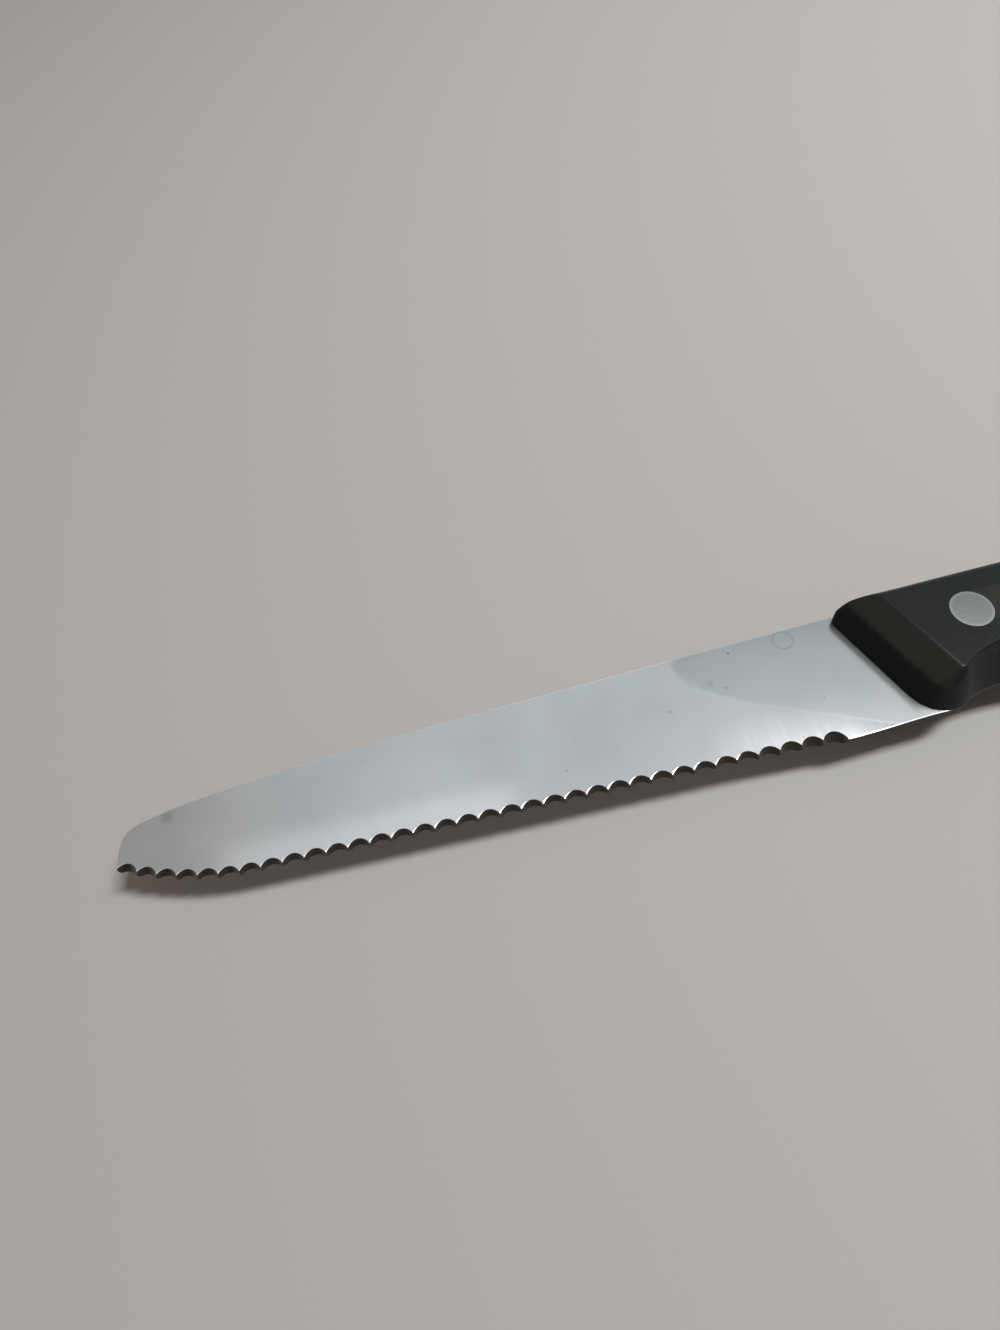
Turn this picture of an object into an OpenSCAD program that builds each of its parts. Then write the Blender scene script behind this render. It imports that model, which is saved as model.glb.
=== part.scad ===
// Steak knife lying on its side: +X points to the butt, +Y to the spine and +Z out of its left side.
// Outline points are [x, y], with x counted from the tip and y from the line of the cutting edge.

/* [Blade] */
// Length of the blade from its tip to the front of the scales, along the spine
blade_l = 123.6; // [112:0.1:136]
// Height of the blade at the front of the scales
blade_h = 21.4; // [18.8:0.1:24]
// Thickness of the steel, in the tang and in the flat at the heel
steel_t = 1.6; // [1.4:0.1:2.2]
// Thickness that the ground faces leave at the cutting edge
edge_t = 0.75; // [0.5:0.05:1]
// Length of the part of the edge that sweeps up to the tip
sweep_l = 23; // [20:0.5:26]
// Radius of that sweep
sweep_r = 55; // [48:1:64]
// Length of the rounded tip, along the spine
tip_l = 7.5; // [6.5:0.1:9]
// Height of the spine where the rounded tip starts
tip_h = 12.8; // [12:0.1:14]
// How far the plain heel stands below the line of the cusps
heel_drop = 0.8; // [0.5:0.1:1.2]

/* [Serration] */
// Number of scallops along the edge
scallop_count = 34; // [20:1:34]
// Distance from cusp to cusp on the straight part of the edge
scallop_pitch = 3.5; // [3.2:0.05:3.6]
// Distance from cusp to cusp on the sweep
sweep_pitch = 3.38; // [3:0.02:3.5]
// Height of a scallop above its two cusps, on the left face
scallop_rise = 1; // [0.8:0.05:1.2]
// Radius of the wheel that grinds a scallop
flute_r = 2.5; // [2.3:0.05:2.8]
// Lean of a scallop's axis from square to the blade, in degrees
flute_lean = 45; // [30:1:50]
// How far the teeth reach below the line of the cusps
tooth_drop = 0.4; // [0.2:0.05:0.5]
// Distance from the front of the scales to the cusp nearest to them
cusp_back = 9.5; // [8.5:0.1:11]

/* [Handle] */
// Length of the handle from the front of the scales to the butt
handle_l = 113.4; // [100:0.1:125]
// Thickness of the handle over both scales
handle_t = 16; // [13:0.1:19]
// Height of the spine side of the handle at its crest
crest_h = 22.9; // [21.5:0.1:25]
// Height of the finger groove behind the heel
groove_h = 3.1; // [2:0.1:4.5]
// Height of the belly of the handle
belly_h = 0.4; // [0:0.1:1.5]
// Height of the waist in front of the hook
waist_h = 1.9; // [1.5:0.1:3]
// How far the hook at the butt hangs below the edge line
hook_drop = 4.2; // [2:0.1:6]
// Height of the rearmost point of the butt
butt_h = 6.5; // [5:0.1:9]
// How far a scale's side leans in on the spine side
spine_lean = 1.7; // [1:0.1:2.4]
// How far a scale's side leans in on the belly side
belly_lean = 2.8; // [1.5:0.1:3.5]
// How much more it leans in at the finger groove
groove_lean = 1.4; // [0:0.1:2]
// Radius of the rounded arris round the flat of a scale
arris_r = 0.9; // [0.5:0.1:1.4]

/* [Front of the scales] */
// Slant of the front from square to the blade, in degrees
front_slant = 20.4; // [10:0.2:28]
// Height of the steep nose above the steel
nose_h = 4.2; // [3:0.1:5.5]
// How far the steep nose leans back
nose_run = 1.55; // [0.8:0.05:2.4]
// Width of the bevel between the nose and the flat of the scale
bevel_run = 3.75; // [2.5:0.05:5]
// Size of the rounded corner at the spine
top_corner = 3.2; // [2:0.1:4]
// Size of the rounded corner at the heel
heel_corner = 5; // [3.5:0.1:6]

/* [Rivets] */
// Diameter of a rivet's heads
head_d = 6.7; // [5.6:0.1:8]
// Thickness of a rivet's heads
head_t = 1.2; // [0.8:0.1:2]
// Outer diameter of the tube
tube_d = 4.2; // [3.6:0.1:4.8]
// Diameter of the post that is pressed into the tube
post_d = 2.8; // [2:0.1:3]
// Solid length of the tube under its head
tube_floor = 2.4; // [1.5:0.1:4]
// Clearance round the heads, the tube and the post
rivet_fit = 0.05; // [0.03:0.01:0.1]
// Gap between the end of the tube or the post and what faces it
end_gap = 0.3; // [0.1:0.05:0.6]
// Distance from the front of the scales to the front rivet
rivet_x = 18.7; // [17:0.1:20]
// Distance between rivets
rivet_pitch = 34.5; // [30:0.1:38]
// Height of the front rivet above the edge line
front_rivet_h = 13.4; // [12:0.1:14.5]
// Height of the middle rivet
middle_rivet_h = 12.1; // [11:0.1:13]
// Height of the rear rivet
rear_rivet_h = 11.2; // [10:0.1:12]

/* [Hidden] */
$fn = 64;
// One overrun for every cut
over = 1;
// Small overrun that carries a rounding past the outline
nip = 0.3;
// Number of steps on a short curve and on a long one
few = 8;
many = 16;

// Shapes of the curves, as shares of the sizes that they follow
spine_shares = [[0.637, 0.892], [0.212, 0.782]];
tip_shares = [[0.111, 0.888], [0, 0.849]];
// Grinding line: forward of the scales' front and above the edge, as shares of the blade's height
plunge_shares = [[1.223, 1.023], [1.479, 0.657], [0.825, 0.411], [-0.294, -0.056]];
heel_shares = [0.4, 0.75];
crest_shares = [[0.325, 0.49], [0.643, 1]];
groove_pull_share = 0.4;
groove_end_share = 0.87;
// Places along the handle, as shares of its length
crest_x_share = 0.444;
groove_x_share = 0.233;
belly_x_share = 0.533;
waist_x_share = 0.771;
hook_x_share = 0.938;
// How strongly a curve keeps its direction at its ends
soft_share = 0.45;
round_share = 0.6;
crest_pull_share = 0.5;
butt_share = 0.88;
// Heights of the lower rings of a scale, as shares of the height that its arris leaves, and the
// angles of the upper rings, round the arris
side_shares = [0, 0.35, 0.7];
arris_angles = [0, 22.5, 45, 67.5, 90];
// How the belly side swells
swell_power = 1.15;
// Where the plain heel starts behind the last cusp, as a share of the pitch
heel_start_share = 0.7;
// Where it ends behind the foot of the slanted front, and where the scale's rounded corner ends there,
// as shares of that corner
heel_end_share = 0.55;
heel_back_share = 0.85;
// How high the heel ends above the edge line, as a share of its drop
heel_end_rise_share = 0.15;

// Foot of the slanted front, and behind it the point where the heel ends and the finger groove starts
front_foot = [blade_l + blade_h * tan(front_slant), 0];
heel_end = [front_foot.x + heel_corner * heel_end_share, heel_drop * heel_end_rise_share];
scale_t = (handle_t - steel_t) / 2;
cusp_x = blade_l - cusp_back;
overall_l = blade_l + handle_l;
tube_l = handle_t - 2 * head_t - end_gap;
post_l = tube_l - tube_floor;
grind_lean = atan((steel_t - edge_t) / 2 / blade_h);
rivet_heights = [front_rivet_h, middle_rivet_h, rear_rivet_h];
function rivet_place(i) = [blade_l + rivet_x + i * rivet_pitch, rivet_heights[i]];

// Cubic curve from a to d without its last point, which the next curve starts with
function bezier(a, b, c, d, n) = [
    for (i = [0:n - 1]) let (t = i / n, s = 1 - t)
        s * s * s * a + 3 * s * s * t * b + 3 * s * t * t * c + t * t * t * d
];
// Curve between two points where the outline runs along X at both
function swing(a, b, pull_a, pull_b, n) =
    bezier(a, a + [(b.x - a.x) * pull_a, 0], b - [(b.x - a.x) * pull_b, 0], b, n);
// Quarter turn from a, where the outline runs along X, to b, where it runs along Y
function quarter(a, b, pull_x, pull_y, n) =
    bezier(a, a + [(b.x - a.x) * pull_x, 0], b - [0, (b.y - a.y) * pull_y], b, n);
// Rounded corner from a to b, with c where the two sides would meet
function corner(a, c, b, n) = bezier(a, a + (c - a) * 2 / 3, b + (c - b) * 2 / 3, b, n);
function shared(p, x, y) = [p.x * x, p.y * y];
function reversed(p) = [for (i = [len(p) - 1:-1:0]) p[i]];

// The blade's outline
spine = bezier(
    [blade_l, blade_h], shared(spine_shares[0], blade_l, blade_h),
    shared(spine_shares[1], blade_l, blade_h), [tip_l, tip_h], many * 2
);
// The teeth are ground out of a blank that stands below the line of the cusps
blank_r = sweep_r + tooth_drop;
tip_y = sweep_r - sqrt(blank_r * blank_r - sweep_l * sweep_l);
tip = bezier(
    [tip_l, tip_h], shared(tip_shares[0], tip_l, tip_h),
    shared(tip_shares[1], tip_l, tip_h), [0, tip_y], many
);
sweep_turn = asin(sweep_l / blank_r);
sweep = [
    for (i = [0:many - 1]) let (a = sweep_turn * (1 - i / many))
        [sweep_l - blank_r * sin(a), sweep_r - blank_r * cos(a)]
];
heel_start = [cusp_x + scallop_pitch * heel_start_share, -heel_drop];
heel = concat(
    [[sweep_l, -tooth_drop], [heel_start.x, -tooth_drop]],
    bezier(
        heel_start, heel_start + [(heel_end.x - heel_start.x) * heel_shares[0], 0],
        [heel_start.x + (heel_end.x - heel_start.x) * heel_shares[1], heel_end.y], heel_end, few
    )
);

// The handle's two sides, each from the front to the butt
butt = [overall_l, butt_h];
crest = [blade_l + handle_l * crest_x_share, crest_h];
groove = [blade_l + handle_l * groove_x_share, groove_h];
belly = [blade_l + handle_l * belly_x_share, belly_h];
waist = [blade_l + handle_l * waist_x_share, waist_h];
hook = [blade_l + handle_l * hook_x_share, -hook_drop];
spine_side = concat(
    bezier(
        [blade_l, blade_h],
        [blade_l, blade_h] + shared(crest_shares[0], crest.x - blade_l, crest_h - blade_h),
        [blade_l, blade_h] + shared(crest_shares[1], crest.x - blade_l, crest_h - blade_h),
        crest, many
    ),
    quarter(crest, butt, crest_pull_share, butt_share, many + few)
);
belly_side = concat(
    swing(heel_end, groove, groove_pull_share, groove_end_share, few),
    swing(groove, belly, soft_share, soft_share, few),
    swing(belly, waist, soft_share, soft_share, few),
    swing(waist, hook, soft_share, soft_share, few),
    quarter(hook, butt, round_share, round_share, few)
);
steel_outline = concat(
    reversed(spine_side), [for (i = [1:len(spine) - 1]) spine[i]],
    tip, sweep, heel, belly_side, [butt]
);
top_y = max([for (p = steel_outline) p.y]);
bottom_y = min([for (p = steel_outline) p.y]);

// The region that is ground thinner, from the curved grinding line to the tip
plunge = [for (s = plunge_shares) [blade_l, 0] + shared(s, -blade_h, blade_h)];
ground_region = concat(
    bezier(plunge[0], plunge[1], plunge[2], plunge[3], many),
    [plunge[3], [plunge[3].x, -hook_drop], [-over, -hook_drop], [-over, plunge[0].y]]
);

// Rings of a scale: the sides lead past the slanted front, which is cut afterwards
lead = [blade_l - top_corner, blade_h];
ring = concat(
    [lead], spine_side, reversed(concat(belly_side, [butt])), [[lead.x, heel_end.y]]
);
ring_n = len(ring);
function outward(i) =
    i == 0 ? [0, 1] : i == ring_n - 1 ? [0, -1] :
    let (d = ring[i + 1] - ring[i - 1]) [-d.y, d.x] / norm(d);
// Height of each ring, with what the arris takes off there
levels = concat(
    [for (s = side_shares) [s * (scale_t - arris_r), 0]],
    [for (a = arris_angles) [scale_t - arris_r * (1 - sin(a)), arris_r * (1 - cos(a))]]
);
// Share of the finger groove's own lean at x, none beyond its two ends
function groove_share(x) = let (reach = groove.x - heel_end.x)
    (1 + cos(180 * min(1, abs(x - groove.x) / reach))) / 2;
// How far the side leans in at height z, by how much a point of the ring faces the belly
function lean_in(i, z) = let (m = (1 - outward(i).y) / 2)
    spine_lean * (1 - m) * z / scale_t
    + (belly_lean + groove_lean * groove_share(ring[i].x)) * m * pow(z / scale_t, swell_power);
scale_points = [
    for (v = levels) for (i = [0:ring_n - 1])
        let (p = ring[i] - outward(i) * (lean_in(i, v.x) + v.y)) [p.x, p.y, v.x]
];
ring_last = (len(levels) - 1) * ring_n;
cap_n = ceil(ring_n / 2) - 1;
scale_faces = concat(
    [for (k = [0:len(levels) - 2]) for (i = [0:ring_n - 1])
        let (a = k * ring_n, j = (i + 1) % ring_n) [a + i, a + j, a + ring_n + j, a + ring_n + i]],
    [for (i = [0:cap_n - 1]) [i, ring_n - 1 - i, ring_n - 2 - i, i + 1]],
    [for (i = [0:cap_n - 1])
        [ring_last + i, ring_last + i + 1, ring_last + ring_n - 2 - i, ring_last + ring_n - 1 - i]]
);

// Puts the outline's coordinates in the part's frame: centred, standing on the right scale's flat
module placed() {
    translate([-overall_l / 2, -(top_y + bottom_y) / 2, handle_t / 2]) children();
}

// One scallop's grinding wheel: k counts from the heel, and the axis leans in over the left face
module flute(k) {
    run = (k - 0.5) * scallop_pitch;
    straight = cusp_x - sweep_l;
    turn = max(0, run - straight) * sweep_pitch / scallop_pitch / sweep_r * 180 / PI;
    place = run > straight
        ? [sweep_l - sweep_r * sin(turn), sweep_r * (1 - cos(turn))]
        : [cusp_x - run, 0];
    translate([place.x, place.y, 0]) rotate([0, 0, -turn])
        translate([0, scallop_rise - flute_r / cos(flute_lean), edge_t / 2])
            rotate([-flute_lean, 0, 0])
                cylinder(r = flute_r, h = (steel_t + over) * 4, center = true);
}

// What one face loses to grinding
module ground_off() {
    intersection() {
        linear_extrude(height = steel_t + over) polygon(ground_region);
        translate([-over, 0, edge_t / 2]) rotate([grind_lean, 0, 0])
            translate([0, -hook_drop * 2, 0])
                cube([blade_l + blade_h + over, blade_h * 2, steel_t + over]);
    }
}

// Hole for a rivet's tube
module shank_hole(i, h) {
    p = rivet_place(i);
    translate([p.x, p.y, 0]) cylinder(d = tube_d + 2 * rivet_fit, h = h, center = true);
}

// Steel blade and full tang in one piece
module blade() {
    color("silver") placed() difference() {
        translate([0, 0, -steel_t / 2]) linear_extrude(height = steel_t) polygon(steel_outline);
        ground_off();
        mirror([0, 0, 1]) ground_off();
        for (k = [0:scallop_count - 1]) flute(k);
        for (i = [0:2]) shank_hole(i, steel_t + 2 * over);
    }
}

// What the steep nose and the bevel take off the front of a scale
module front_cut() {
    translate([blade_l, blade_h, 0]) rotate([0, 0, front_slant]) rotate([90, 0, 0])
        translate([0, 0, -blade_h]) linear_extrude(height = blade_h * 3) polygon([
            [-blade_h, -over],
            [-nose_run * over / nose_h, -over],
            [nose_run, nose_h],
            [nose_run + bevel_run, scale_t],
            [nose_run + bevel_run * (1 + over / (scale_t - nose_h)), scale_t + over],
            [-blade_h, scale_t + over]
        ]);
}

// Plan of the front with its two rounded corners, open behind
module front_plan() {
    down = [sin(front_slant), -cos(front_slant)];
    fore = [-cos(front_slant), -sin(front_slant)] * nip;
    top = [blade_l, blade_h] + fore;
    foot = front_foot + fore;
    back = [front_foot.x + heel_corner * heel_back_share, heel_end.y - nip];
    far = overall_l + over;
    linear_extrude(height = handle_t) polygon(concat(
        [[far, crest_h + over], [blade_l + top_corner * 2, crest_h + over]],
        corner([blade_l + top_corner, blade_h + nip], top, top + down * top_corner, few),
        corner(foot - down * heel_corner, foot, back, few),
        [back, [back.x + heel_corner, -hook_drop - over], [far, -hook_drop - over]]
    ));
}

// Moulded scale, drawn with its inner face at z = 0
module scale_body() {
    difference() {
        intersection() {
            polyhedron(points = scale_points, faces = scale_faces);
            translate([0, 0, -over]) front_plan();
        }
        front_cut();
        for (i = [0:2]) {
            shank_hole(i, handle_t * 2);
            p = rivet_place(i);
            translate([p.x, p.y, scale_t - head_t])
                cylinder(d = head_d + 2 * rivet_fit, h = head_t + over);
        }
    }
}

module left_scale() {
    color("#26292c") placed() translate([0, 0, steel_t / 2]) scale_body();
}

module right_scale() {
    color("#26292c") placed() mirror([0, 0, 1]) translate([0, 0, steel_t / 2]) scale_body();
}

// Tubular half of a rivet, its head in the left scale
module rivet_socket(i) {
    p = rivet_place(i);
    color("#9a9c9c") placed() translate([p.x, p.y, 0]) difference() {
        union() {
            translate([0, 0, handle_t / 2 - head_t]) cylinder(d = head_d, h = head_t);
            translate([0, 0, handle_t / 2 - head_t - tube_l]) cylinder(d = tube_d, h = tube_l);
        }
        translate([0, 0, handle_t / 2 - head_t - tube_l - over])
            cylinder(d = post_d + 2 * rivet_fit, h = tube_l - tube_floor + end_gap + over);
    }
}

// Solid half of a rivet, its head in the right scale
module rivet_post(i) {
    p = rivet_place(i);
    color("#9a9c9c") placed() translate([p.x, p.y, -handle_t / 2]) {
        cylinder(d = head_d, h = head_t);
        cylinder(d = post_d, h = head_t + post_l);
    }
}

blade();
left_scale();
right_scale();
rivet_socket(0);  // front_rivet_socket
rivet_post(0);  // front_rivet_post
rivet_socket(1);  // middle_rivet_socket
rivet_post(1);  // middle_rivet_post
rivet_socket(2);  // rear_rivet_socket
rivet_post(2);  // rear_rivet_post
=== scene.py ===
# %% [markdown]
# # A steak knife on a pale table
# The knife has nine pieces of metal and plastic: one steel blade with its tang, two black scales and
# three rivets of two halves each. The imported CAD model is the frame: it gives every piece its place and
# its size, in metres. Blender adds what a flat-sided solid can't show: the soft grinding line, the
# ground scallops, the moulded edges of the scales and the finish of each surface.

# %% Load the frame
import math

import bmesh
import bpy
import numpy as np
from mathutils import Matrix, Vector


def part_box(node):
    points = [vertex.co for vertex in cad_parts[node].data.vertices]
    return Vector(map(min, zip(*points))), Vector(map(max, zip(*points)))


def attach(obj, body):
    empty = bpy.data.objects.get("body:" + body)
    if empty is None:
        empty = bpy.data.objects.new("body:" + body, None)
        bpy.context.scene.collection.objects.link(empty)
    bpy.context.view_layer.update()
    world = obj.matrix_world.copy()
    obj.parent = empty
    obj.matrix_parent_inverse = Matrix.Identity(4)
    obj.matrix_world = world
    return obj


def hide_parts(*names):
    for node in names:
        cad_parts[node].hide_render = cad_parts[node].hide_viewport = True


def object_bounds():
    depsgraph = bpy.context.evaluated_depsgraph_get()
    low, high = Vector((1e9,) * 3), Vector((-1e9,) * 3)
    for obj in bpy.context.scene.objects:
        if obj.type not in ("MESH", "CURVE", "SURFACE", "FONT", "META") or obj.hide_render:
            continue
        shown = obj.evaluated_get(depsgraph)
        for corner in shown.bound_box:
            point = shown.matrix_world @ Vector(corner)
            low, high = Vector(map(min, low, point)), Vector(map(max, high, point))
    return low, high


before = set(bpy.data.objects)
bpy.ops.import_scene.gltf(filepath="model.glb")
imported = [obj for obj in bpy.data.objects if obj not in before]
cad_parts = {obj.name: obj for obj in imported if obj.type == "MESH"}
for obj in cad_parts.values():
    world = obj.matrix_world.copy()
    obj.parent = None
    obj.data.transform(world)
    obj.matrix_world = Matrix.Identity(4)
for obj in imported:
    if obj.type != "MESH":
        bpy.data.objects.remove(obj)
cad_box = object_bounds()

mm = 0.001
print("the knife measures", [round(float(high - low) / mm, 1) for low, high in zip(*cad_box)], "mm")

# %% [markdown]
# ## The camera
# The photograph was taken from close above the blade, on the edge's side, with the handle running out of
# the picture. The row of scallops is a ruler: its spacing gave the camera's place and its three
# directions, which are written here in the part's own frame. The lens follows from the picture's
# 1330 pixels along its longer side, and the middle of the picture needs no shift.


# %% Place the camera where the photograph was taken from
def placed(name, data):
    """A new object in the scene, with its data."""
    obj = bpy.data.objects.new(name, data)
    bpy.context.scene.collection.objects.link(obj)
    return obj


camera_place = Vector((-53.98, -50.15, 120.83)) * mm
to_the_right = Vector((0.97637, -0.19369, -0.09590))
upwards = Vector((0.21539, 0.83550, 0.50551))
backwards = to_the_right.cross(upwards)
photo_long_side = 1330
focal_pixels = 745

camera_data = bpy.data.cameras.new("camera")
camera = placed("camera", camera_data)
bpy.context.scene.camera = camera
turn = Matrix((to_the_right, upwards, backwards)).transposed()
camera.matrix_world = Matrix.Translation(camera_place) @ turn.to_4x4()
camera_data.sensor_width = 36
camera_data.lens = camera_data.sensor_width * focal_pixels / photo_long_side
camera_data.clip_start = 5 * mm
print("lens", round(camera_data.lens, 2), "mm on a", camera_data.sensor_width, "mm sensor")

# %% [markdown]
# ## Colours and nodes
# A colour is given as a hex number, as a painter's program shows it, but the renderer calculates
# with linear light. One function turns the first into the second. A second one adds a node with its
# settings and links, and serves both the materials and the geometry trees.


# %% Two small helpers
def paint(hex_colour):
    """An sRGB hex colour such as "#c8ccd0" as linear red, green, blue and alpha."""
    shades = [int(hex_colour[i:i + 2], 16) / 255 for i in (1, 3, 5)]
    linear = [s / 12.92 if s <= 0.04045 else ((s + 0.055) / 1.055) ** 2.4 for s in shades]
    return (*linear, 1)


def add(tree, kind, links=None, **settings):
    """A new node with its settings; links gives each input a value or another node's output."""
    node = tree.nodes.new(kind)
    for name, value in settings.items():
        setattr(node, name, value)
    for name, value in (links or {}).items():
        if isinstance(value, bpy.types.NodeSocket):
            tree.links.new(value, node.inputs[name])
        else:
            node.inputs[name].default_value = value
    return node


print("steel grey in linear light:", [round(c, 3) for c in paint("#c8ccd0")[:3]])

# %% [markdown]
# ## Floor and light
# The floor is matt pale card. A long, narrow soft box hangs level above the knife, a little behind it: it
# gives the short, clear shadow along the edge. A wide and much dimmer one beside it is what the steeper
# strip along the edge mirrors. The room itself adds little light, and that light is slightly warm, which
# tints the shadow. The camera and everything glossy see the room as pale, and paler towards the handle,
# which the blade's face mirrors. A grey card on the viewer's side is what the scallops mirror, so they stay
# dark. The camera doesn't see the card, and it casts no shadow.


# %% Lay the floor
def plain_material(name, hex_colour, roughness, metallic=0):
    material = bpy.data.materials.new(name)
    material.use_nodes = True
    shader = material.node_tree.nodes["Principled BSDF"]
    shader.inputs["Base Color"].default_value = paint(hex_colour)
    shader.inputs["Roughness"].default_value = roughness
    shader.inputs["Metallic"].default_value = metallic
    return material


def sheet(name, width, height, material):
    """A flat rectangle about the origin, facing up."""
    mesh = bpy.data.meshes.new(name)
    corners = [(-width / 2, -height / 2, 0), (width / 2, -height / 2, 0),
               (width / 2, height / 2, 0), (-width / 2, height / 2, 0)]
    mesh.from_pydata(corners, [], [(0, 1, 2, 3)])
    mesh.materials.append(material)
    return placed(name, mesh)


floor = sheet("floor", 6, 6, plain_material("pale_card", "#c5c6c6", 0.9))
print("floor at z =", floor.location.z)

# %% Hang the lights
world = bpy.data.worlds.new("studio")
bpy.context.scene.world = world
world.use_nodes = True
room = world.node_tree
toward = add(room, "ShaderNodeSeparateXYZ", {0: add(room, "ShaderNodeTexCoord").outputs["Generated"]})
handle_end = add(room, "ShaderNodeMapRange", {0: toward.outputs["X"], 1: -0.65, 2: -0.05},
                 interpolation_type="SMOOTHSTEP")
# How pale the room looks at the tip's end and at the handle's end, and how little light it gives
pale = add(room, "ShaderNodeMapRange", {0: handle_end.outputs[0], 3: 0.34, 4: 0.74})
tint = add(room, "ShaderNodeMix", {0: handle_end.outputs[0], 6: paint("#f5f3ef"), 7: paint("#e9f2f4")},
           data_type="RGBA")
rays = add(room, "ShaderNodeLightPath")
mirrored = add(room, "ShaderNodeMath", {
    0: rays.outputs["Is Glossy Ray"], 1: rays.outputs["Is Transmission Ray"]}, operation="ADD")
seen = add(room, "ShaderNodeMath", {0: rays.outputs["Is Camera Ray"], 1: mirrored.outputs[0]},
           operation="ADD")
level = add(room, "ShaderNodeMix", {0: seen.outputs[0], 2: 0.18, 3: pale.outputs[0]})
hue = add(room, "ShaderNodeMix", {0: seen.outputs[0], 6: paint("#ffe4d4"), 7: tint.outputs[2]},
          data_type="RGBA")
room.links.new(hue.outputs[2], room.nodes["Background"].inputs["Color"])
room.links.new(level.outputs[0], room.nodes["Background"].inputs["Strength"])
bpy.context.scene.view_settings.view_transform = "Standard"


def soft_box(name, place, width, depth, radiance, hex_colour):
    """A level soft light, whose own surface is as bright as radiance says."""
    lamp = bpy.data.lights.new(name, "AREA")
    lamp.shape = "RECTANGLE"
    lamp.size = width
    lamp.size_y = depth
    lamp.energy = radiance * math.pi * width * depth
    lamp.color = paint(hex_colour)[:3]
    placed(name, lamp).location = place


soft_box("narrow_box", (0.42, 0.08, 1.0), 0.45, 0.17, 38.0, "#fbfaf8")
soft_box("wide_box", (-0.28, 0.14, 1.0), 0.45, 0.36, 0.3, "#f0f4f6")
viewer_card = sheet("viewer_card", 2.6, 0.9, plain_material("warm_grey_card", "#8d8680", 0.9))
viewer_card.location = (0, -0.6, 0.48)
viewer_card.rotation_euler = (math.radians(90), 0, 0)
viewer_card.visible_camera = False
viewer_card.visible_shadow = False

# %% [markdown]
# ## The steel
# Such blades are stamped from martensitic stainless steel, a chromium steel that keeps its shine. Its
# face is ground and then polished with a fine belt that runs from the spine to the edge, so it mirrors
# the room softly and shows faint lines across the blade. The flat in front of the handle keeps the duller
# skin of the rolled sheet. An attribute of the mesh, 0 on the flat and 1 on the ground face, mixes the
# two. A metal's colour is its mirror's colour, so it is light, and its lines are mostly bump. The stamped
# edge is the exception: its colour is painted darker, as painted shade.


# %% Polished steel with its grinding lines
def start_material(*look):
    """A plain material, its tree, its shader's inputs and the place on the object, in metres."""
    material = plain_material(*look)
    tree = material.node_tree
    inputs = tree.nodes["Principled BSDF"].inputs
    return material, tree, inputs, add(tree, "ShaderNodeTexCoord").outputs["Object"]


# Marks of use on the left face: the place in millimetres, a ring's radius or 0, its blur and its darkness
steel_marks = [
    (-3.5, 9.7, 1.7, 0.3, 0.2), (-13.2, 9.5, 0, 0.35, 0.9), (-15.8, 3.2, 0, 0.4, 0.5),
    (-18.0, 4.6, 0, 0.7, 0.25), (-26.0, 1.2, 0, 0.5, 0.35), (-110.5, 2.4, 0, 1.6, 0.3),
    (-1.2, -2.4, 0, 0.3, 0.5),
]
left_face_z = 8.7
# How deep the grinding lines of the steel and the mould's grain of the scales are
bump_depth = 0.02


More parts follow.
